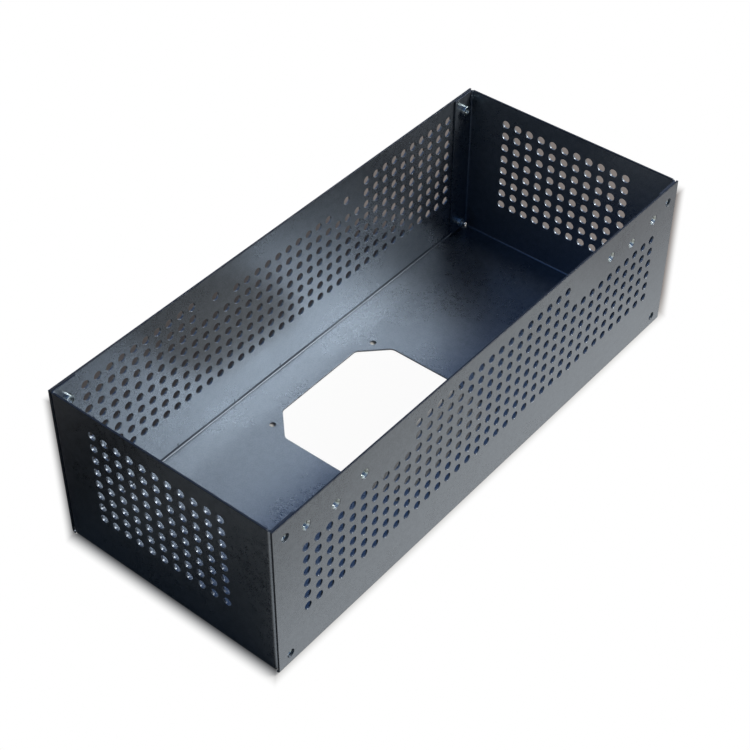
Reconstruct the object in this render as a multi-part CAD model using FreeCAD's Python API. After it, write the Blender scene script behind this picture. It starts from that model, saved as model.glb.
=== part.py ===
"""Open sheet metal chassis: perforated walls, a fan opening in the floor and pressed-in nuts.

Lengths are in millimetres. X runs along the length, -Y is the front long wall and +Z is up.
The origin is the middle of the underside.

One blank gives the floor, both long walls and both end walls. Each end wall also has two side
flanges, which are folded round inside the long walls and carry the corner nuts.
"""
import FreeCAD, Part
import os
from math import floor

# The folded sheet
inside_length = 400.0      # clear length between the end walls
inside_width = 170.0       # clear width between the long walls
height = 121.2             # underside to rim
sheet = 1.2                # sheet thickness
bend_radius = 1.2          # inner radius of every fold

# The end walls' side flanges
flange_width = 19.5        # end wall's outer face to the flange's free edge
flange_gap = 0.2           # flange to the long wall that covers it
flange_top_drop = 0.5      # rim to the flange's top edge
flange_foot = 0.8          # top of the floor's fold to the flange's bottom edge

# Relief holes at the four corners of the floor
relief_diameter = 4.4
relief_from_end = 4.0      # end wall's outer face to the relief hole's centre

# Perforation: one round hole on a square grid
hole_diameter = 6.0
hole_pitch = 10.0
rows = 8
long_grid_drop = 13.8      # rim to the long walls' first row
long_grid_margin = 25.0    # least plain length at each end of a long wall, inside
end_grid_drop = 16.0       # rim to the end walls' first row
end_grid_margin = 33.0     # least plain width at each side of an end wall, inside
end_grid_shift = 2.5       # end walls' grid, off the middle towards the back
short_rows = 2             # upper rows that leave room for the nuts and the handle
front_short_columns = 16   # holes in each short row of the front wall
back_corner_columns = 10   # holes at each end of the back wall's short rows
back_middle_columns = 10   # holes in the middle of the back wall's second row

# Handle holes in the back wall
handle_hole_diameter = 6.0
handle_hole_spacing = 128.0
handle_hole_drop = 18.8    # rim to the holes

# Fan opening in the floor
fan_opening = 113.0        # across the flats of the opening
fan_corner = 18.5          # chamfer that cuts off each corner
fan_corner_radius = 5.0    # rounding where a chamfer meets an edge
fan_screw_spacing = 105.0
fan_screw_diameter = 4.5

# Screw holes at the ends of the long walls, over the flange nuts
corner_hole_diameter = 6.0
corner_hole_from_end = 10.0
corner_hole_drop = 12.0    # rim to the upper holes
corner_hole_rise = 9.5     # underside to the lower holes

# Nuts in the front wall
front_nut_from_end = 27.0
front_nut_spacing = 25.0
front_nut_drop = 16.6      # rim to the outer and inner nuts
front_nut_dip = 4.0        # the middle nut lies lower by this
front_nut_hole = 7.6       # hole in the wall for the nut's shank
front_nut_body = 9.5
front_nut_height = 3.2     # body's height above the sheet
front_nut_bore = 4.2
front_nut_lead = 1.2       # depth of the countersink in the shank's face

# Nuts in the flanges
corner_nut_hole = 5.4
corner_nut_body = 7.4
corner_nut_height = 3.4
corner_nut_bore = 3.3
corner_nut_lead = 0.5

# All nuts
nut_edge = 0.3             # chamfer round the body's free face
nut_mouth = 0.6            # depth of the countersink in the body's free face
nut_shank_gap = 0.05       # shank to its hole, all round
nut_shank_short = 0.1      # the shank ends this far inside the sheet's far face

bend_outer = bend_radius + sheet
half_length = inside_length / 2 + sheet
half_width = inside_width / 2 + sheet
fold_x = half_length - bend_outer                        # the end walls' folds start here
fold_y = half_width - bend_outer                         # the long walls' folds start here
flange_face_y = inside_width / 2 - flange_gap            # the flanges' outer faces
end_half_width = flange_face_y - bend_outer              # half the end wall's flat width
flange_foot_z = bend_outer + flange_foot
flange_top_z = height - flange_top_drop
corner_hole_x = half_length - corner_hole_from_end
corner_hole_z = {"top": height - corner_hole_drop, "bottom": corner_hole_rise}

X = FreeCAD.Vector(1, 0, 0)
Y = FreeCAD.Vector(0, 1, 0)
Z = FreeCAD.Vector(0, 0, 1)


def point(x, y, z):
    return FreeCAD.Vector(x, y, z)


def ring(centre, axis, diameter):
    """A closed circular wire."""
    return Part.Wire(Part.Circle(centre, axis, diameter / 2).toShape())


def flat(outline, holes, direction):
    """A flat piece of sheet: an outline with holes, grown by the sheet's thickness."""
    face = Part.makeFace([outline] + holes, "Part::FaceMakerBullseye")
    return face.extrude(direction * sheet)


def rectangle(corner, along, length, across, width):
    """A rectangular wire from one corner and its two sides."""
    far = corner + along * length
    return Part.makePolygon([corner, far, far + across * width, corner + across * width, corner])


def fold(centre, first, second, along, length):
    """A quarter-round fold about centre, from direction first to direction second."""
    middle = (first + second).normalize()
    outer = [centre + d * bend_outer for d in (first, middle, second)]
    inner = [centre + d * bend_radius for d in (second, middle, first)]
    section = Part.Wire([
        Part.Arc(*outer).toShape(),
        Part.makeLine(outer[2], inner[0]),
        Part.Arc(*inner).toShape(),
        Part.makeLine(inner[2], outer[0]),
    ])
    return Part.Face(section).extrude(along * length)


def column_count(span, margin):
    """How many columns of holes fit between two plain margins."""
    return 1 + floor((span - 2 * margin) / hole_pitch + 1e-6)


def grid(columns, drop, keep):
    """Hole places (sideways from the middle, height) of a grid, where keep(row, column) says so."""
    start = -(columns - 1) * hole_pitch / 2
    return [
        (start + column * hole_pitch, height - drop - row * hole_pitch)
        for row in range(rows)
        for column in range(columns)
        if keep(row, column)
    ]


def mid_block(column, columns, width):
    """Whether a column lies in a block of the given width in the middle of a row."""
    first = (columns - width) // 2
    return first <= column < first + width


def front_grid():
    """The front wall's short rows keep only their middle holes, between the nuts."""
    columns = column_count(inside_length, long_grid_margin)
    return grid(
        columns,
        long_grid_drop,
        lambda row, column: row >= short_rows or mid_block(column, columns, front_short_columns),
    )


def back_grid():
    """The back wall's short rows leave out a block round each handle hole."""
    columns = column_count(inside_length, long_grid_margin)
    middle = columns - 2 * back_corner_columns

    def keep(row, column):
        if row >= short_rows or not mid_block(column, columns, middle):
            return True
        return row > 0 and mid_block(column, columns, back_middle_columns)

    return grid(columns, long_grid_drop, keep)


def end_grid():
    """Both end walls have the full grid, moved a little towards the back."""
    columns = column_count(inside_width, end_grid_margin)
    return [(y + end_grid_shift, z) for y, z in grid(columns, end_grid_drop, lambda row, column: True)]


def corner_hole_places():
    """Places (x, z) of the four screw holes at the ends of a long wall."""
    return [(side * corner_hole_x, z) for side in (-1, 1) for z in corner_hole_z.values()]


def front_nut_places():
    """Name and place (x, z) of each nut in the front wall."""
    places = {}
    for side_name, side in (("left", -1), ("right", 1)):
        for order, name in enumerate(("outer", "middle", "inner")):
            x = side * (half_length - front_nut_from_end - order * front_nut_spacing)
            dip = front_nut_dip if name == "middle" else 0.0
            places[f"front_nut_{side_name}_{name}"] = (x, height - front_nut_drop - dip)
    return places


def fan_outline():
    """The fan opening: a square with its corners cut off and the cuts' ends rounded."""
    half = fan_opening / 2
    near = half - fan_corner
    corners = []
    for sx, sy in ((1, -1), (1, 1), (-1, 1), (-1, -1)):
        pair = [point(sx * near, sy * half, 0), point(sx * half, sy * near, 0)]
        corners += pair if sx * sy < 0 else pair[::-1]
    prism = Part.Face(Part.makePolygon(corners + corners[:1])).extrude(Z)
    upright = [e for e in prism.Edges if abs(e.Vertexes[0].Z - e.Vertexes[1].Z) > 0.5]
    rounded = prism.makeFillet(fan_corner_radius, upright)
    underside = min(rounded.Faces, key=lambda face: face.CenterOfMass.z)
    return underside.OuterWire


def floor_sheet():
    """The floor between its four folds, with the fan opening and the fan's screw holes."""
    outline = rectangle(point(-fold_x, -fold_y, 0), X, 2 * fold_x, Y, 2 * fold_y)
    reach = fan_screw_spacing / 2
    screws = [
        ring(point(sx * reach, sy * reach, 0), Z, fan_screw_diameter)
        for sx in (-1, 1)
        for sy in (-1, 1)
    ]
    return flat(outline, [fan_outline()] + screws, Z)


def long_wall(side, holes):
    """A long wall with its fold. Holes are (x, z, diameter); side is -1 for front, 1 for back."""
    outer_y = side * half_width
    corner = point(-half_length, outer_y, bend_outer)
    outline = rectangle(corner, X, 2 * half_length, Z, height - bend_outer)
    rings = [ring(point(x, outer_y, z), Y, diameter) for x, z, diameter in holes]
    bottom = fold(point(-half_length, side * fold_y, bend_outer), -Z, Y * side, X, 2 * half_length)
    return [flat(outline, rings, Y * -side), bottom]


def front_wall():
    holes = [(x, z, hole_diameter) for x, z in front_grid()]
    holes += [(x, z, front_nut_hole) for x, z in front_nut_places().values()]
    holes += [(x, z, corner_hole_diameter) for x, z in corner_hole_places()]
    return long_wall(-1, holes)


def back_wall():
    holes = [(x, z, hole_diameter) for x, z in back_grid()]
    reach = handle_hole_spacing / 2
    holes += [(x, height - handle_hole_drop, handle_hole_diameter) for x in (-reach, reach)]
    holes += [(x, z, corner_hole_diameter) for x, z in corner_hole_places()]
    return long_wall(1, holes)


def flange(end, side):
    """A side flange with its fold, at one end and on one side."""
    tall = flange_top_z - flange_foot_z
    bend = fold(point(end * fold_x, side * end_half_width, flange_foot_z), X * end, Y * side, Z, tall)
    corner = point(end * fold_x, side * flange_face_y, flange_foot_z)
    outline = rectangle(corner, X * -end, flange_width - bend_outer, Z, tall)
    rings = [
        ring(point(end * corner_hole_x, side * flange_face_y, z), Y, corner_nut_hole)
        for z in corner_hole_z.values()
    ]
    return [bend, flat(outline, rings, Y * -side)]


def end_wall(end):
    """An end wall with its fold and its two side flanges; end is -1 for left, 1 for right."""
    outer_x = end * half_length
    corner = point(outer_x, -end_half_width, bend_outer)
    outline = rectangle(corner, Y, 2 * end_half_width, Z, height - bend_outer)
    rings = [ring(point(outer_x, y, z), X, hole_diameter) for y, z in end_grid()]
    low = point(end * fold_x, -end_half_width, bend_outer)
    bottom = fold(low, -Z, X * end, Y, 2 * end_half_width)
    return [flat(outline, rings, X * -end), bottom] + flange(end, -1) + flange(end, 1)


def relief_cutters():
    """Upright cylinders that open the floor's corners, as far as the long walls' inner faces."""
    radius = relief_diameter / 2
    x = half_length - relief_from_end
    y = inside_width / 2 - radius
    return [
        Part.makeCylinder(radius, 2 * bend_outer, point(sx * x, sy * y, -bend_outer), Z)
        for sx in (-1, 1)
        for sy in (-1, 1)
    ]


def chassis():
    """The whole folded sheet as one solid."""
    pieces = [floor_sheet()] + front_wall() + back_wall() + end_wall(-1) + end_wall(1)
    body = pieces[0].fuse(pieces[1:])
    return body.cut(relief_cutters()).Solids[0]


def pressed_nut(hole, body, body_height, bore, lead):
    """A self-clinching nut along Y: its body stands on the sheet's face and its shank fills the hole.

    The sheet's face is at zero. Both mouths of the bore are countersunk at 45 degrees, the shank's by lead.
    """
    shank_end = nut_shank_short - sheet
    shank = Part.makeCylinder(hole / 2 - nut_shank_gap, -shank_end, point(0, 0, 0), -Y)
    head = Part.makeCylinder(body / 2, body_height, point(0, 0, 0), Y)
    rim = [e for e in head.Edges if len(e.Vertexes) == 1 and abs(e.CenterOfMass.y - body_height) < 1e-6]
    head = head.makeChamfer(nut_edge, rim)
    radius = bore / 2
    cutters = [
        Part.makeCylinder(radius, body_height - shank_end, point(0, shank_end, 0), Y),
        Part.makeCone(radius + nut_mouth, radius, nut_mouth, point(0, body_height, 0), -Y),
        Part.makeCone(radius + lead, radius, lead, point(0, shank_end, 0), Y),
    ]
    return shank.fuse(head).cut(cutters).removeSplitter()


def place_nut(nut, x, y, z, inward):
    """Turn a nut so that its body points inward along Y, and move it to its hole."""
    placed = nut.copy()
    if inward < 0:
        placed.rotate(point(0, 0, 0), Z, 180)
    placed.translate(point(x, y, z))
    return placed


def nuts():
    """Every pressed-in nut by name."""
    made = {}
    front_nut = pressed_nut(
        front_nut_hole, front_nut_body, front_nut_height, front_nut_bore, front_nut_lead
    )
    for name, (x, z) in front_nut_places().items():
        made[name] = place_nut(front_nut, x, -inside_width / 2, z, 1)
    corner_nut = pressed_nut(
        corner_nut_hole, corner_nut_body, corner_nut_height, corner_nut_bore, corner_nut_lead
    )
    seat_y = flange_face_y - sheet
    for side_name, side in (("front", -1), ("back", 1)):
        for end_name, end in (("left", -1), ("right", 1)):
            for level, z in corner_hole_z.items():
                name = f"corner_nut_{side_name}_{end_name}_{level}"
                made[name] = place_nut(corner_nut, end * corner_hole_x, side * seat_y, z, -side)
    return made


def main():
    os.makedirs("parts", exist_ok=True)
    parts = {"chassis_sheet": chassis()}
    parts.update(nuts())
    for name, shape in parts.items():
        shape.exportStep(f"parts/{name}.step")
        print(name, "valid", shape.isValid(), "solids", len(shape.Solids), "volume", round(shape.Volume, 1))


main()
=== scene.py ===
"""The folded sheet metal chassis: satin paint, plated threaded nuts, a pale floor and the camera.

Lengths are in metres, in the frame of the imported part: X along the length, -Y the front wall, +Z up.
"""
import math

import bmesh
import bpy
from bpy.props import FloatProperty, FloatVectorProperty, IntProperty, PointerProperty
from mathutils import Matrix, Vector


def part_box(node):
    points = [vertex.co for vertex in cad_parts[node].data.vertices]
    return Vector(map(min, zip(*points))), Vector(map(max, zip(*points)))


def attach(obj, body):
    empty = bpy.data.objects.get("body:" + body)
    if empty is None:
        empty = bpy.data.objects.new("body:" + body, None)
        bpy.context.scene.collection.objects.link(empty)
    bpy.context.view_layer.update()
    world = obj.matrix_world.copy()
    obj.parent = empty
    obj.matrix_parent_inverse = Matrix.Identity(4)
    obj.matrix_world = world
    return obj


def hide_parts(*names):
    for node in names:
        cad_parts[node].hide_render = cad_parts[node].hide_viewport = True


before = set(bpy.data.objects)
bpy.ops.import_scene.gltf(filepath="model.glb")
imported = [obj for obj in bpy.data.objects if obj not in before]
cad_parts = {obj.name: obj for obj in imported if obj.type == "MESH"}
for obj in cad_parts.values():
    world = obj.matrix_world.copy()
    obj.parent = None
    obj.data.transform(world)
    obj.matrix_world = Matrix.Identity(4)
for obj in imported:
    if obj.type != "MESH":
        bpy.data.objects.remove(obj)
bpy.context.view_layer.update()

bl_info = {
    "name": "Sheet metal chassis",
    "version": (1, 0, 0),
    "blender": (4, 5, 0),
    "location": "3D View > Sidebar > Chassis",
    "description": "Paints the folded sheet, makes its pressed-in nuts and sets the stage",
    "category": "Object",
}

SHEET_NODE = "chassis_sheet"
FRONT_NUTS = [n for n in sorted(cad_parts) if n.startswith("front_nut")]
CORNER_NUTS = [n for n in sorted(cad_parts) if n.startswith("corner_nut")]
LOW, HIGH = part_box(SHEET_NODE)
MM = 0.001

# The folded sheet
SHEET = 1.2 * MM
BEND_OUTER = 2.4 * MM
INNER_FACE = HIGH.y - SHEET      # the long walls' inner faces, either side of the middle
# Where short dark marks rise from the painted shade line inside the long folds, counted from the near end
CREASE_NICKS = tuple(LOW.x + away * MM for away in (93.0, 147.0, 193.0))

# Stage
KEY_DIRECTION = Vector((0.545, -0.49, 0.67))      # from the chassis towards the large soft lamp
FLOOR_SIZE = 12.0
FLOOR_GAP = 0.3 * MM             # underside to the floor
SENSOR_WIDTH = 36.0
CLIP_NEAR, CLIP_FAR = 0.05, 30.0
WHITE = (1.0, 1.0, 1.0)


def length(name, description, default):
    return FloatProperty(
        name=name, description=description, default=default, min=0.0, subtype="DISTANCE", unit="LENGTH"
    )


def colour(name, description, default):
    return FloatVectorProperty(
        name=name, description=description, default=default, size=3, min=0.0, max=1.0, subtype="COLOR"
    )


def share(name, description, default):
    return FloatProperty(
        name=name, description=description, default=default, min=0.0, max=1.0, subtype="FACTOR"
    )


class SheetFinish(bpy.types.PropertyGroup):
    paint: colour("Paint", "Colour of the satin paint", (0.222, 0.250, 0.280))
    paint_dark: colour("Dark paint", "Colour where the paint lies thicker", (0.150, 0.171, 0.195))
    worn: colour("Worn edge", "Colour where handling has rubbed an edge", (0.25, 0.27, 0.29))
    scuff: colour("Scuff", "Colour of the faint scuffs", (0.17, 0.18, 0.19))
    # Darker colour along the top of the rim and on the long walls' cut ends
    cut_edge: colour("Cut edge", "Colour of the paint on the sheet's cut edges", (0.035, 0.040, 0.050))
    # Painted shade: the dark colour laid along a line inside the long folds, and in part over the folds
    crease_shade: colour("Crease", "Colour of the paint pooled along a fold", (0.040, 0.050, 0.065))
    roughness: share("Roughness", "How satin the paint is", 0.29)
    edge_radius: length("Edge radius", "Softening of the cut edges", 0.25 * MM)
    grain_size: length("Grain size", "Size of the paint's grain", 1.0 * MM)


class NutFinish(bpy.types.PropertyGroup):
    plating: colour("Plating", "Colour of the bright zinc", (0.46, 0.49, 0.48))
    plating_tint: colour("Plating tint", "Colour where the plating is thicker", (0.33, 0.38, 0.36))
    rubbed: colour("Rubbed edge", "Colour where an edge of the plating is rubbed bright", (0.60, 0.62, 0.61))
    roughness: share("Roughness", "How bright the plating is", 0.22)
    segments: IntProperty(name="Segments", description="Facets round a nut", default=40, min=16, max=96)
    turning_pitch: length("Turning pitch", "Spacing of the turning marks", 0.11 * MM)


class FrontNutSize(bpy.types.PropertyGroup):
    shank: length("Shank", "Diameter of the shank in the wall", 7.5 * MM)
    shank_length: length("Shank length", "How far the shank reaches into the wall", 1.1 * MM)
    bore: length("Bore", "Diameter at the thread's crests", 4.2 * MM)
    lead: length("Lead", "Depth of the countersink in the shank's face", 1.2 * MM)
    pitch: length("Pitch", "Pitch of the thread", 0.8 * MM)
    thread_depth: length("Thread depth", "Depth of the thread", 0.38 * MM)


class CornerNutSize(bpy.types.PropertyGroup):
    shank: length("Shank", "Diameter of the shank in the flange", 5.3 * MM)
    shank_length: length("Shank length", "How far the shank reaches into the flange", 1.1 * MM)
    bore: length("Bore", "Diameter at the thread's crests", 3.3 * MM)
    lead: length("Lead", "Depth of the countersink in the shank's face", 0.5 * MM)
    pitch: length("Pitch", "Pitch of the thread", 0.7 * MM)
    thread_depth: length("Thread depth", "Depth of the thread", 0.33 * MM)


class StageSettings(bpy.types.PropertyGroup):
    floor_colour: colour("Floor", "Colour of the pale floor", (0.56, 0.545, 0.525))
    # Painted shadow: the floor's darker colour behind the chassis
    floor_painted_shadow: colour(
        "Floor behind", "Colour of the floor behind the chassis, further from the lamp", (0.24, 0.212, 0.20)
    )
    key_colour: colour("Key colour", "Colour of the large soft lamp", (1.0, 0.985, 0.96))
    key_power: FloatProperty(
        name="Key power", description="Power of the large soft lamp", default=29.0, min=0.0
    )
    key_size: length("Key size", "Side of the large soft lamp", 0.6)
    key_distance: length("Key distance", "Large soft lamp to the chassis", 1.6)
    fill_colour: colour("Fill colour", "Colour of the light from all round", (0.56, 0.76, 1.0))
    sky_low: colour("Low sky", "Pale background near the horizon that the paint mirrors", (0.80, 0.90, 1.0))
    sky_high: colour("High sky", "Dimmer background overhead that the paint mirrors", (0.10, 0.19, 0.42))
    fill_strength: FloatProperty(
        name="Fill strength", description="Strength of the light from all round", default=0.04, min=0.0
    )
    camera_place: FloatVectorProperty(
        name="Camera place", description="Where the camera stands", default=(-0.6315, -0.5061, 0.7957),
        size=3, subtype="TRANSLATION", unit="LENGTH",
    )
    camera_turn: FloatVectorProperty(
        name="Camera turn", description="How the camera is turned",
        default=tuple(math.radians(a) for a in (46.9356, -0.1748, -50.6911)),
        size=3, subtype="EULER", unit="ROTATION",
    )
    lens: FloatProperty(name="Lens", description="Focal length of the camera", default=81.76, unit="CAMERA")


# Node helpers


def new_node(tree, kind, inputs=None, **settings):
    node = tree.nodes.new(kind)
    for name, value in settings.items():
        setattr(node, name, value)
    for name, value in (inputs or {}).items():
        if isinstance(value, bpy.types.NodeSocket):
            tree.links.new(value, node.inputs[name])
        else:
            node.inputs[name].default_value = value
    return node


def math_node(tree, operation, *values, clamp=False):
    node = tree.nodes.new("ShaderNodeMath")
    node.operation = operation
    node.use_clamp = clamp
    for socket, value in zip(node.inputs, values):
        if isinstance(value, bpy.types.NodeSocket):
            tree.links.new(value, socket)
        else:
            socket.default_value = value
    return node.outputs[0]


def product(tree, *masks):
    """Several masks multiplied together."""
    result = masks[0]
    for mask in masks[1:]:
        result = math_node(tree, "MULTIPLY", result, mask)
    return result


def ramp(tree, value, low, high, to_low=0.0, to_high=1.0):
    """A value eased from one range to another."""
    node = new_node(tree, "ShaderNodeMapRange", {
        "Value": value, "From Min": low, "From Max": high, "To Min": to_low, "To Max": to_high,
    }, interpolation_type="SMOOTHSTEP")
    return node.outputs["Result"]


def blend_colours(tree, factor, first, second):
    node = new_node(tree, "ShaderNodeMix", data_type="RGBA", clamp_factor=True)
    for socket, value in ((node.inputs[0], factor), (node.inputs[6], first), (node.inputs[7], second)):
        if isinstance(value, bpy.types.NodeSocket):
            tree.links.new(value, socket)
        else:
            socket.default_value = value if isinstance(value, float) else (*value, 1.0)
    return node.outputs[2]


def new_group(name, inputs, outputs):
    """An empty shader group with its sockets: (name, kind, default)."""
    tree = bpy.data.node_groups.new(name, "ShaderNodeTree")
    for socket, kind, default in inputs:
        made = tree.interface.new_socket(socket, in_out="INPUT", socket_type=kind)
        if default is not None:
            made.default_value = default
    for socket, kind in outputs:
        tree.interface.new_socket(socket, in_out="OUTPUT", socket_type=kind)
    return tree, tree.nodes.new("NodeGroupInput"), tree.nodes.new("NodeGroupOutput")


def place_group(tree, name, inputs):
    node = tree.nodes.new("ShaderNodeGroup")
    node.node_tree = bpy.data.node_groups[name]
    for socket, value in inputs.items():
        if isinstance(value, bpy.types.NodeSocket):
            tree.links.new(value, node.inputs[socket])
        else:
            node.inputs[socket].default_value = value
    return node


FLOAT = "NodeSocketFloat"
VECTOR = "NodeSocketVector"


def grain_group():
    """Fine grain: a height for the bump and a tone from 0 to 1, over a place in metres."""
    tree, source, result = new_group(
        "fine_grain",
        [("Place", VECTOR, None), ("Size", FLOAT, 0.5 * MM), ("Speckle", FLOAT, 0.5)],
        [("Height", FLOAT), ("Tone", FLOAT)],
    )
    scale = math_node(tree, "DIVIDE", 1.0, source.outputs["Size"])
    fine = new_node(tree, "ShaderNodeTexNoise", {
        "Vector": source.outputs["Place"], "Scale": scale, "Detail": 2.0, "Roughness": 0.6,
    })
    coarse_scale = math_node(tree, "MULTIPLY", scale, 0.23)
    coarse = new_node(tree, "ShaderNodeTexNoise", {
        "Vector": source.outputs["Place"], "Scale": coarse_scale, "Detail": 2.0, "Roughness": 0.5,
    })
    tree.links.new(fine.outputs["Fac"], result.inputs["Height"])
    mixed = math_node(tree, "MULTIPLY", fine.outputs["Fac"], source.outputs["Speckle"])
    rest = math_node(tree, "SUBTRACT", 1.0, source.outputs["Speckle"])
    tone = math_node(tree, "MULTIPLY_ADD", coarse.outputs["Fac"], rest, mixed)
    tree.links.new(ramp(tree, tone, 0.34, 0.66), result.inputs["Tone"])


def edge_group():
    """Edge wear: a mask along sharp edges, broken up by noise, and the softened normal."""
    tree, source, result = new_group(
        "edge_wear",
        [("Place", VECTOR, None), ("Radius", FLOAT, 0.3 * MM), ("Amount", FLOAT, 0.7)],
        [("Mask", FLOAT), ("Normal", VECTOR)],
    )
    soft = new_node(tree, "ShaderNodeBevel", {"Radius": source.outputs["Radius"]}, samples=6)
    flat = new_node(tree, "ShaderNodeNewGeometry")
    facing = new_node(tree, "ShaderNodeVectorMath", operation="DOT_PRODUCT")
    tree.links.new(soft.outputs["Normal"], facing.inputs[0])
    tree.links.new(flat.outputs["True Normal"], facing.inputs[1])
    turned = ramp(tree, facing.outputs["Value"], 0.985, 0.80)
    patches = new_node(tree, "ShaderNodeTexNoise", {
        "Vector": source.outputs["Place"], "Scale": 160.0, "Detail": 4.0, "Roughness": 0.65,
    })
    broken = ramp(tree, patches.outputs["Fac"], 0.36, 0.60, 0.35, 1.0)
    mask = math_node(tree, "MULTIPLY", product(tree, turned, broken), source.outputs["Amount"], clamp=True)
    tree.links.new(mask, result.inputs["Mask"])
    tree.links.new(soft.outputs["Normal"], result.inputs["Normal"])


def drift_group():
    """Slow drift of tone over a large surface, from 0 to 1."""
    tree, source, result = new_group(
        "tone_drift", [("Place", VECTOR, None), ("Size", FLOAT, 50 * MM)], [("Tone", FLOAT)]
    )
    noise = new_node(tree, "ShaderNodeTexNoise", {
        "Vector": source.outputs["Place"],
        "Scale": math_node(tree, "DIVIDE", 1.0, source.outputs["Size"]),
        "Detail": 3.0, "Roughness": 0.5, "Distortion": 0.4,
    })
    tree.links.new(ramp(tree, noise.outputs["Fac"], 0.30, 0.70), result.inputs["Tone"])


def make_groups():
    makers = {"fine_grain": grain_group, "edge_wear": edge_group, "tone_drift": drift_group}
    for name, make in makers.items():
        if name not in bpy.data.node_groups:
            make()


def new_material(name):
    """A material with its Principled shader; returns the material, its tree, shader and Object place."""
    material = bpy.data.materials.new(name)
    material.use_nodes = True
    tree = material.node_tree
    tree.nodes.clear()
    output = tree.nodes.new("ShaderNodeOutputMaterial")
    shader = tree.nodes.new("ShaderNodeBsdfPrincipled")
    tree.links.new(shader.outputs[0], output.inputs["Surface"])
    place = tree.nodes.new("ShaderNodeTexCoord").outputs["Object"]
    return material, tree, shader, place


def window(tree, value, start, end, soft):
    """A soft window: 1 between start and end, falling to 0 over the soft distance."""
    rising = ramp(tree, value, start - soft, start + soft)
    falling = ramp(tree, value, end - soft, end + soft, 1.0, 0.0)
    return math_node(tree, "MULTIPLY", rising, falling)


SCUFF_TILT = math.radians(-14.0)
SCUFF_STREAK = (30 * MM, 1.0, 1.6 * MM)
SCUFF_ALONG = (128 * MM, 190 * MM, 8 * MM)       # start, end and softness of the scuffed patch
SCUFF_UP = (8 * MM, 24 * MM, 4 * MM)


def sheet_scuffs(tree, place):
    """Faint slanting scuffs low on the front wall, near its right end."""
    axes = new_node(tree, "ShaderNodeSeparateXYZ", {"Vector": place})
    streaks = new_node(tree, "ShaderNodeMapping", {"Vector": place}, vector_type="TEXTURE")
    streaks.inputs["Rotation"].default_value = (0.0, SCUFF_TILT, 0.0)
    streaks.inputs["Scale"].default_value = SCUFF_STREAK
    noise = new_node(tree, "ShaderNodeTexNoise", {
        "Vector": streaks.outputs["Vector"], "Scale": 1.0, "Detail": 5.0, "Roughness": 0.7,
    })
    lines = ramp(tree, noise.outputs["Fac"], 0.56, 0.70)
    along = window(tree, axes.outputs["X"], *SCUFF_ALONG)
    up = window(tree, axes.outputs["Z"], *SCUFF_UP)
    outside = ramp(tree, axes.outputs["Y"], LOW.y + 0.4 * MM, LOW.y + 0.1 * MM)
    return product(tree, along, up, outside, lines)


def sheet_folds(tree, place, patches):
    """Masks for the cut edges, for painted shade along a line inside the long folds, and for the folds
    themselves, which get some painted shade and a rougher satin.
    """
    axes = new_node(tree, "ShaderNodeSeparateXYZ", {"Vector": place})
    x, y, z = (axes.outputs[name] for name in "XYZ")
    from_middle = math_node(tree, "ABSOLUTE", y)
    along = math_node(tree, "ABSOLUTE", x)
    at_wall = (tree, from_middle, INNER_FACE - 0.3 * MM, INNER_FACE - 0.1 * MM)

    # The rim's top and the long walls' cut ends, where the colour is made darker
    rim = ramp(tree, z, HIGH.z - 0.9 * MM, HIGH.z - 0.3 * MM)
    ends = product(tree, ramp(tree, along, HIGH.x - 0.12 * MM, HIGH.x - 0.02 * MM), ramp(*at_wall))
    cut = math_node(tree, "MAXIMUM", rim, ends)

    within = ramp(tree, from_middle, INNER_FACE + 0.4 * MM, INNER_FACE + 0.2 * MM)
    inside = product(tree, ramp(*at_wall), within)
    # Painted shade: a dark line 2.2 to 3.7 mm up inside the long folds, with three short dark marks
    line = window(tree, z, 2.2 * MM, 3.7 * MM, 0.4 * MM)
    line = product(tree, line, ramp(tree, patches, 0.0, 0.7, 0.6, 1.0))
    nicks = 0.0
    for nick in CREASE_NICKS:
        here = window(tree, x, nick - 0.5 * MM, nick + 0.5 * MM, 0.3 * MM)
        nicks = math_node(tree, "MAXIMUM", nicks, here)
    nicks = product(tree, nicks, window(tree, z, 2.0 * MM, 6.0 * MM, 0.4 * MM))
    crease_shade = product(tree, math_node(tree, "MAXIMUM", line, nicks), inside)

    # The folds' bends low down, which get part of the painted shade
    low_down = ramp(tree, z, BEND_OUTER + 0.2 * MM, BEND_OUTER - 0.4 * MM)
    fold = product(tree, low_down, ramp(tree, from_middle, INNER_FACE - 1.6 * MM, INNER_FACE - 1.0 * MM))
    return cut, crease_shade, fold


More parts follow.
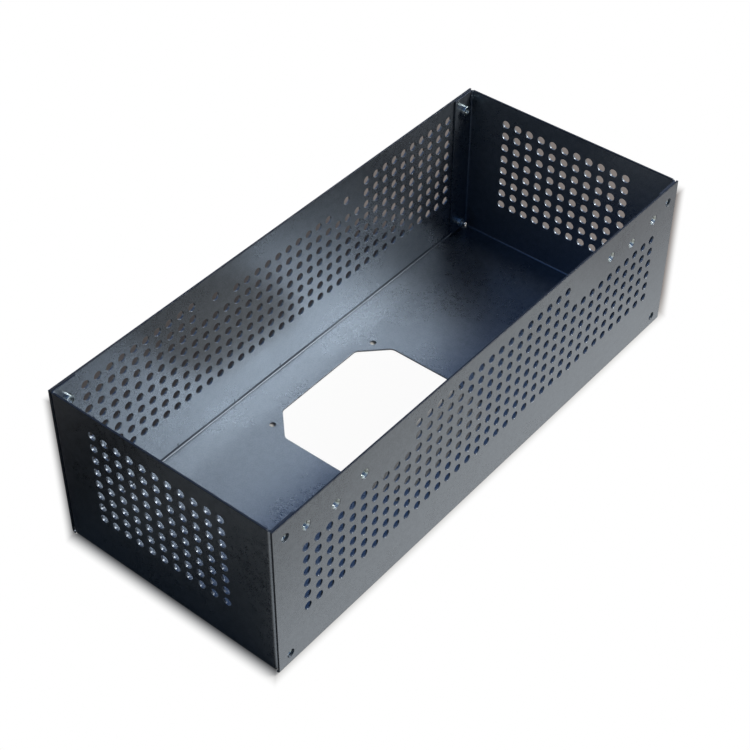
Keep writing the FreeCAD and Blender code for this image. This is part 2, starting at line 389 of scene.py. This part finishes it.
def sheet_material(finish):
    """Satin dark paint on steel: grain, slow drift of tone, rubbed edges, a few scuffs, painted shade along
    the long folds, and a darker rim and cut ends.
    """
    make_groups()
    material, tree, shader, place = new_material("satin_paint")
    grain = place_group(tree, "fine_grain", {"Place": place, "Size": finish.grain_size, "Speckle": 0.65})
    drift = place_group(tree, "tone_drift", {"Place": place, "Size": 60 * MM})
    edges = place_group(tree, "edge_wear", {"Place": place, "Radius": finish.edge_radius, "Amount": 0.35})
    scuffs = sheet_scuffs(tree, place)
    cut, crease_shade, fold = sheet_folds(tree, place, drift.outputs["Tone"])

    drift_share = math_node(tree, "MULTIPLY", drift.outputs["Tone"], 0.25)
    tone = math_node(tree, "MULTIPLY_ADD", grain.outputs["Tone"], 0.75, drift_share)
    base = blend_colours(tree, tone, tuple(finish.paint_dark), tuple(finish.paint))
    base = blend_colours(tree, math_node(tree, "MULTIPLY", scuffs, 0.7), base, tuple(finish.scuff))
    # Painted shade: the folds darkened part way, and the line inside them fully, towards one dark colour
    base = blend_colours(tree, math_node(tree, "MULTIPLY", fold, 0.35), base, tuple(finish.crease_shade))
    base = blend_colours(tree, crease_shade, base, tuple(finish.crease_shade))
    # Darker along the rim's top and the long walls' cut ends
    base = blend_colours(tree, math_node(tree, "MULTIPLY", cut, 0.9), base, tuple(finish.cut_edge))
    worn = product(tree, edges.outputs["Mask"], math_node(tree, "SUBTRACT", 1.0, fold))
    base = blend_colours(tree, worn, base, tuple(finish.worn))
    tree.links.new(base, shader.inputs["Base Color"])

    rough = ramp(tree, grain.outputs["Tone"], 0.0, 1.0, finish.roughness - 0.04, finish.roughness + 0.05)
    rough = math_node(tree, "MULTIPLY_ADD", drift.outputs["Tone"], 0.05, rough)
    rough = math_node(tree, "MULTIPLY_ADD", scuffs, 0.15, rough)
    rough = math_node(tree, "MULTIPLY_ADD", fold, 0.14, rough)
    rough = math_node(tree, "MULTIPLY_ADD", cut, 0.12, rough)
    tree.links.new(rough, shader.inputs["Roughness"])

    bump = new_node(tree, "ShaderNodeBump", {
        "Strength": 0.6, "Distance": 0.06 * MM, "Height": grain.outputs["Height"],
        "Normal": edges.outputs["Normal"],
    })
    tree.links.new(bump.outputs["Normal"], shader.inputs["Normal"])
    shader.inputs["Metallic"].default_value = 0.8
    shader.inputs["IOR"].default_value = 1.5
    return material


def nut_material(finish, paint):
    """Bright zinc plating with turning marks; the paint has caught the shank's flush face."""
    make_groups()
    material, tree, shader, place = new_material("bright_zinc")
    from_axis = new_node(tree, "ShaderNodeAttribute", attribute_name="from_axis").outputs["Fac"]
    rings = math_node(tree, "MULTIPLY", from_axis, 2 * math.pi / finish.turning_pitch)
    rings = math_node(tree, "SINE", rings)
    grain = place_group(tree, "fine_grain", {"Place": place, "Size": 0.4 * MM, "Speckle": 0.4})
    drift = place_group(tree, "tone_drift", {"Place": place, "Size": 4 * MM})
    edges = place_group(tree, "edge_wear", {"Place": place, "Radius": 0.12 * MM, "Amount": 0.6})
    base = blend_colours(tree, drift.outputs["Tone"], tuple(finish.plating_tint), tuple(finish.plating))
    base = blend_colours(tree, edges.outputs["Mask"], base, tuple(finish.rubbed))
    painted = new_node(tree, "ShaderNodeAttribute", attribute_name="painted").outputs["Fac"]
    base = blend_colours(tree, painted, base, tuple(paint))
    tree.links.new(base, shader.inputs["Base Color"])
    rough = ramp(tree, grain.outputs["Tone"], 0.0, 1.0, finish.roughness - 0.05, finish.roughness + 0.09)
    tree.links.new(rough, shader.inputs["Roughness"])
    height = math_node(tree, "MULTIPLY_ADD", rings, 0.25, grain.outputs["Height"])
    bump = new_node(tree, "ShaderNodeBump", {
        "Strength": 0.4, "Distance": 0.01 * MM, "Height": height, "Normal": edges.outputs["Normal"],
    })
    tree.links.new(bump.outputs["Normal"], shader.inputs["Normal"])
    shader.inputs["Metallic"].default_value = 1.0
    return material


def plating(scene):
    """The nuts' one material, made on first use."""
    made = bpy.data.materials.get("bright_zinc")
    return made or nut_material(scene.nut_finish, scene.sheet_finish.paint)


# Modelling helpers


def deselect_all():
    if bpy.context.mode != "OBJECT":
        bpy.ops.object.mode_set(mode="OBJECT")
    bpy.ops.object.select_all(action="DESELECT")


def turned_ring(name, profile, segments):
    """A closed turned body about Y: one circle extruded through the profile's (radius, y) steps."""
    deselect_all()
    radius, y = profile[0]
    bpy.ops.mesh.primitive_circle_add(
        vertices=segments, radius=radius, location=(0, y, 0), rotation=(math.radians(90), 0, 0)
    )
    piece = bpy.context.active_object
    piece.name = piece.data.name = name
    bpy.ops.object.transform_apply(location=True, rotation=True, scale=True)
    bpy.ops.object.mode_set(mode="EDIT")
    bpy.ops.mesh.select_all(action="SELECT")
    for next_radius, next_y in profile[1:]:
        bpy.ops.mesh.extrude_region_move(TRANSFORM_OT_translate={"value": (0, next_y - y, 0)})
        size = next_radius / radius
        bpy.ops.transform.resize(value=(size, 1, size), center_override=(0, next_y, 0))
        radius, y = next_radius, next_y
    bpy.ops.mesh.select_all(action="SELECT")
    bpy.ops.mesh.remove_doubles(threshold=1e-6)
    bpy.ops.mesh.normals_make_consistent(inside=False)
    bpy.ops.object.mode_set(mode="OBJECT")
    return piece


def cut_thread(piece, bore, pitch, depth, start, end):
    """A helical thread, cut outwards from the bore between two heights; the rows are already there."""
    shape = bmesh.new()
    shape.from_mesh(piece.data)
    for vertex in shape.verts:
        radius = math.hypot(vertex.co.x, vertex.co.z)
        if radius > bore / 2 + 1e-6 or not start + 1e-6 < vertex.co.y < end - 1e-6:
            continue
        turn = math.atan2(vertex.co.x, vertex.co.z) / (2 * math.pi)
        phase = (vertex.co.y / pitch - turn) % 1.0
        groove = 1.0 - abs(2.0 * phase - 1.0)
        fade = min(1.0, (vertex.co.y - start) / (0.6 * pitch), (end - vertex.co.y) / (0.6 * pitch))
        grown = 1.0 + depth * groove * fade / radius
        vertex.co.x *= grown
        vertex.co.z *= grown
    shape.to_mesh(piece.data)
    shape.free()


def nut_master(name, size, node, segments):
    """One pressed-in nut on the origin: the sheet's face at y = 0 and the body towards +Y."""
    low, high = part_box(node)
    body = (high.x - low.x) / 2
    top = (high.y - low.y) - size.shank_length
    shank, bottom, bore = size.shank / 2, -size.shank_length, size.bore / 2
    thread_start, thread_end = bottom + size.lead, top - 0.6 * MM
    edge = 0.1 * MM
    profile = [
        (bore, thread_start),
        (bore + size.lead - edge, bottom + edge),
        (bore + size.lead, bottom),
        (shank - edge, bottom),
        (shank, bottom + edge),
        (shank, -0.3 * MM),
        (shank - 0.15 * MM, -0.2 * MM),
        (shank - 0.15 * MM, 0.0),
        (body - edge, 0.0),
        (body, edge),
        (body, top - 0.3 * MM),
        (body - 0.06 * MM, top - 0.16 * MM),
        (body - 0.3 * MM, top),
        (bore + 0.6 * MM + edge, top),
        (bore + 0.6 * MM, top - 0.4 * edge),
        (bore, thread_end),
    ]
    rows = max(2, round((thread_end - thread_start) / (size.pitch / 8)))
    step = (thread_end - thread_start) / rows
    profile += [(bore, thread_end - row * step) for row in range(1, rows + 1)]
    piece = turned_ring(name, profile, segments)
    cut_thread(piece, size.bore, size.pitch, size.thread_depth, thread_start, thread_end)
    marks = piece.data.attributes.new("from_axis", "FLOAT", "POINT")
    for vertex, mark in zip(piece.data.vertices, marks.data):
        mark.value = math.hypot(vertex.co.x, vertex.co.z) + 0.5 * abs(vertex.co.y)
    painted = piece.data.attributes.new("painted", "FLOAT", "POINT")
    for vertex, mark in zip(piece.data.vertices, painted.data):
        mark.value = 1.0 if vertex.co.y < bottom + 0.5 * edge else 0.0
    deselect_all()
    piece.select_set(True)
    bpy.context.view_layer.objects.active = piece
    bpy.ops.object.shade_smooth_by_angle(angle=math.radians(32))
    return piece


def set_nuts(master, nodes, material):
    """A copy of the nut, with its own mesh, for each node; the body always faces the inside."""
    for node in nodes:
        low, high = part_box(node)
        deselect_all()
        master.select_set(True)
        bpy.context.view_layer.objects.active = master
        bpy.ops.object.duplicate(linked=False)
        piece = bpy.context.active_object
        piece.name = piece.data.name = node + "_threaded"
        front = low.y + high.y < 0
        master_low = min(v.co.y for v in master.data.vertices)
        if not front:
            bpy.ops.transform.rotate(value=math.pi, orient_axis="Z", center_override=(0, 0, 0))
        face = low.y - master_low if front else high.y + master_low
        bpy.ops.transform.translate(value=((low.x + high.x) / 2, face, (low.z + high.z) / 2))
        bpy.ops.object.transform_apply(location=True, rotation=True, scale=True)
        piece.data.materials.clear()
        piece.data.materials.append(material)
        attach(piece, "root")
        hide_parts(node)
    bpy.data.objects.remove(master)


class CHASSIS_OT_sheet(bpy.types.Operator):
    """Paint the folded sheet"""
    bl_idname = "chassis.sheet"
    bl_label = "Paint the sheet"

    def execute(self, context):
        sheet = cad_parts[SHEET_NODE]
        sheet.data.materials.clear()
        sheet.data.materials.append(sheet_material(context.scene.sheet_finish))
        return {"FINISHED"}


class CHASSIS_OT_front_nuts(bpy.types.Operator):
    """Make the six threaded nuts in the front wall"""
    bl_idname = "chassis.front_nuts"
    bl_label = "Make the front nuts"

    def execute(self, context):
        scene = context.scene
        material = plating(scene)
        master = nut_master("front_nut", scene.front_nut_size, FRONT_NUTS[0], scene.nut_finish.segments)
        set_nuts(master, FRONT_NUTS, material)
        return {"FINISHED"}


class CHASSIS_OT_corner_nuts(bpy.types.Operator):
    """Make the eight threaded nuts in the corner flanges"""
    bl_idname = "chassis.corner_nuts"
    bl_label = "Make the corner nuts"

    def execute(self, context):
        scene = context.scene
        material = plating(scene)
        master = nut_master("corner_nut", scene.corner_nut_size, CORNER_NUTS[0], scene.nut_finish.segments)
        set_nuts(master, CORNER_NUTS, material)
        return {"FINISHED"}


def seen_rays(tree):
    """1 for rays that show the background: straight to the camera, mirrored or passed through."""
    rays = new_node(tree, "ShaderNodeLightPath")
    seen = math_node(tree, "MAXIMUM", rays.outputs["Is Camera Ray"], rays.outputs["Is Glossy Ray"])
    return math_node(tree, "MAXIMUM", seen, rays.outputs["Is Transmission Ray"])


# Where the floor turns white: direction outwards, a point on the line, start and end of the fade
FLOOR_FADES = (
    ((-1.0, 0.0), (LOW.x, 0.0), -0.003, 0.010),
    ((0.0, -1.0), (0.0, LOW.y), -0.006, 0.005),
    ((1.0, 0.0), (HIGH.x + 0.130, 0.0), 0.0, 0.018),
    ((0.0, 1.0), (0.0, HIGH.y + 0.093), 0.0, 0.012),
    ((0.450, -0.893), (HIGH.x, LOW.y), -0.001, 0.007),
    ((-0.809, 0.588), (LOW.x, HIGH.y), -0.003, 0.006),
)


# The floor under the fan opening: half its diagonal reach, and how far forward it is white
OPENING_EDGE = (99.5 * MM, 97.5 * MM)
OPENING_FRONT = (-21 * MM, -11 * MM)
OPENING_WHITE = 0.95

# The floor as the paint mirrors it; in front of the front wall a painted reflection: white that only
# mirrored rays see, brightening the wall's reflection
MIRROR_FAR = (0.25, 0.60)        # past the chassis, the fade to white
MIRROR_START = (-4 * MM, 2 * MM)
MIRROR_FRONT = (110 * MM, 10 * MM)
FRONT_GLOW_IN_REFLECTIONS = 0.8


def floor_material(stage):
    """Pale matt floor, with painted shadow as a darker colour behind the chassis, that turns white past its
    soft shadow; mirrored rays see a painted white glow in front of it.
    """
    material, tree, shader, place = new_material("pale_floor")
    output = next(n for n in tree.nodes if n.bl_idname == "ShaderNodeOutputMaterial")
    shader.inputs["Roughness"].default_value = 0.9
    shader.inputs["Specular IOR Level"].default_value = 0.1
    axes = new_node(tree, "ShaderNodeSeparateXYZ", {"Vector": place})
    x, y = axes.outputs["X"], axes.outputs["Y"]
    size_x, size_y = math_node(tree, "ABSOLUTE", x), math_node(tree, "ABSOLUTE", y)

    corner = math_node(tree, "ADD", size_x, size_y)
    opening = product(tree, ramp(tree, corner, *OPENING_EDGE), ramp(tree, y, *OPENING_FRONT))
    near_white = product(tree, opening, OPENING_WHITE)
    for (nx, ny), (px, py), start, end in FLOOR_FADES:
        along = math_node(tree, "MULTIPLY", x, nx)
        along = math_node(tree, "SUBTRACT", along, nx * px + ny * py)
        away = math_node(tree, "MULTIPLY_ADD", y, ny, along)
        near_white = math_node(tree, "MAXIMUM", near_white, ramp(tree, away, start, end))

    # Painted shadow: the floor's colour darkens behind the chassis's back wall and far end
    behind_x = math_node(tree, "SUBTRACT", x, HIGH.x)
    behind_y = math_node(tree, "SUBTRACT", y, HIGH.y)
    behind = ramp(tree, math_node(tree, "MAXIMUM", behind_x, behind_y), -10 * MM, 30 * MM)
    base = blend_colours(tree, behind, tuple(stage.floor_colour), tuple(stage.floor_painted_shadow))
    tree.links.new(base, shader.inputs["Base Color"])

    past_x = math_node(tree, "SUBTRACT", size_x, HIGH.x)
    past_y = math_node(tree, "SUBTRACT", size_y, HIGH.y)
    far = ramp(tree, math_node(tree, "MAXIMUM", past_x, past_y), *MIRROR_FAR)
    # Painted reflection: a white glow in front of the front wall that only mirrored rays see
    before = math_node(tree, "SUBTRACT", LOW.y, y)
    front = ramp(tree, before, *MIRROR_FRONT, 0.0, FRONT_GLOW_IN_REFLECTIONS)
    front = product(tree, ramp(tree, before, *MIRROR_START), front)

    rays = new_node(tree, "ShaderNodeLightPath")
    mirrored = math_node(tree, "MAXIMUM", rays.outputs["Is Glossy Ray"], rays.outputs["Is Transmission Ray"])
    mirrored = product(tree, math_node(tree, "MAXIMUM", far, front), mirrored)
    white = math_node(tree, "MAXIMUM", product(tree, near_white, rays.outputs["Is Camera Ray"]), mirrored)
    glow = new_node(tree, "ShaderNodeEmission", {"Color": (*WHITE, 1.0), "Strength": 1.0})
    mix = new_node(tree, "ShaderNodeMixShader", {"Fac": white})
    tree.links.new(shader.outputs[0], mix.inputs[1])
    tree.links.new(glow.outputs[0], mix.inputs[2])
    tree.links.new(mix.outputs[0], output.inputs["Surface"])
    return material


def set_world(stage):
    """A dim cool fill from all round; the camera sees white, and the paint a sky that dims overhead."""
    world = bpy.data.worlds.new("soft_fill")
    bpy.context.scene.world = world
    world.use_nodes = True
    tree = world.node_tree
    tree.nodes.clear()
    fill = new_node(tree, "ShaderNodeBackground", {
        "Color": (*stage.fill_colour, 1.0), "Strength": stage.fill_strength,
    })
    rays = new_node(tree, "ShaderNodeLightPath")
    direction = new_node(tree, "ShaderNodeTexCoord").outputs["Generated"]
    height = new_node(tree, "ShaderNodeSeparateXYZ", {"Vector": direction}).outputs["Z"]
    overhead = ramp(tree, height, 0.10, 0.50)
    sky = blend_colours(tree, overhead, tuple(stage.sky_low), tuple(stage.sky_high))
    shown = blend_colours(tree, rays.outputs["Is Camera Ray"], sky, WHITE)
    white = new_node(tree, "ShaderNodeBackground", {"Color": shown, "Strength": 1.0})
    mix = new_node(tree, "ShaderNodeMixShader", {"Fac": seen_rays(tree)})
    tree.links.new(fill.outputs[0], mix.inputs[1])
    tree.links.new(white.outputs[0], mix.inputs[2])
    output = tree.nodes.new("ShaderNodeOutputWorld")
    tree.links.new(mix.outputs[0], output.inputs["Surface"])


def soft_lamp(name, place, aim, size, power, tint):
    deselect_all()
    bpy.ops.object.light_add(type="AREA", location=place)
    lamp = bpy.context.active_object
    lamp.name = lamp.data.name = name
    lamp.data.shape = "SQUARE"
    lamp.data.size = size
    lamp.data.energy = power
    lamp.data.color = tint
    direction = aim - lamp.location
    lamp.rotation_euler = direction.to_track_quat("-Z", "Y").to_euler()
    return lamp


class CHASSIS_OT_stage(bpy.types.Operator):
    """Lay the pale floor and set the lamps, the fill and the camera"""
    bl_idname = "chassis.stage"
    bl_label = "Set the stage"

    def execute(self, context):
        scene = context.scene
        stage = scene.stage_settings
        deselect_all()
        bpy.ops.mesh.primitive_plane_add(size=FLOOR_SIZE, location=(0, 0, LOW.z - FLOOR_GAP))
        floor = context.active_object
        floor.name = floor.data.name = "pale_floor"
        bpy.ops.object.transform_apply(location=True, rotation=True, scale=True)
        floor.data.materials.append(floor_material(stage))

        set_world(stage)
        centre = (LOW + HIGH) / 2
        soft_lamp(
            "key_lamp", centre + KEY_DIRECTION.normalized() * stage.key_distance, centre,
            stage.key_size, stage.key_power, tuple(stage.key_colour),
        )

        bpy.ops.object.camera_add(location=tuple(stage.camera_place), rotation=tuple(stage.camera_turn))
        camera = context.active_object
        camera.name = camera.data.name = "camera"
        camera.data.lens = stage.lens
        camera.data.sensor_width = SENSOR_WIDTH
        camera.data.clip_start, camera.data.clip_end = CLIP_NEAR, CLIP_FAR
        scene.camera = camera
        scene.view_settings.view_transform = "Standard"
        return {"FINISHED"}


class CHASSIS_PT_panel(bpy.types.Panel):
    """The steps that dress the chassis"""
    bl_idname = "CHASSIS_PT_panel"
    bl_label = "Sheet metal chassis"
    bl_space_type = "VIEW_3D"
    bl_region_type = "UI"
    bl_category = "Chassis"

    def draw(self, context):
        layout = self.layout
        for group in SETTINGS:
            box = layout.box()
            settings = getattr(context.scene, group)
            for key in settings.__annotations__:
                box.prop(settings, key)
        for operator in STEPS:
            layout.operator(operator.bl_idname)


SETTINGS = {
    "sheet_finish": SheetFinish,
    "nut_finish": NutFinish,
    "front_nut_size": FrontNutSize,
    "corner_nut_size": CornerNutSize,
    "stage_settings": StageSettings,
}
STEPS = (CHASSIS_OT_sheet, CHASSIS_OT_front_nuts, CHASSIS_OT_corner_nuts, CHASSIS_OT_stage)
CLASSES = (*SETTINGS.values(), *STEPS, CHASSIS_PT_panel)


def register():
    for cls in CLASSES:
        bpy.utils.register_class(cls)
    for name, cls in SETTINGS.items():
        setattr(bpy.types.Scene, name, PointerProperty(type=cls))


def unregister():
    for name in SETTINGS:
        delattr(bpy.types.Scene, name)
    for cls in reversed(CLASSES):
        bpy.utils.unregister_class(cls)


def main():
    register()
    bpy.ops.chassis.sheet()
    bpy.ops.chassis.front_nuts()
    bpy.ops.chassis.corner_nuts()
    bpy.ops.chassis.stage()
    bpy.context.view_layer.update()


if __name__ == "__main__":
    main()
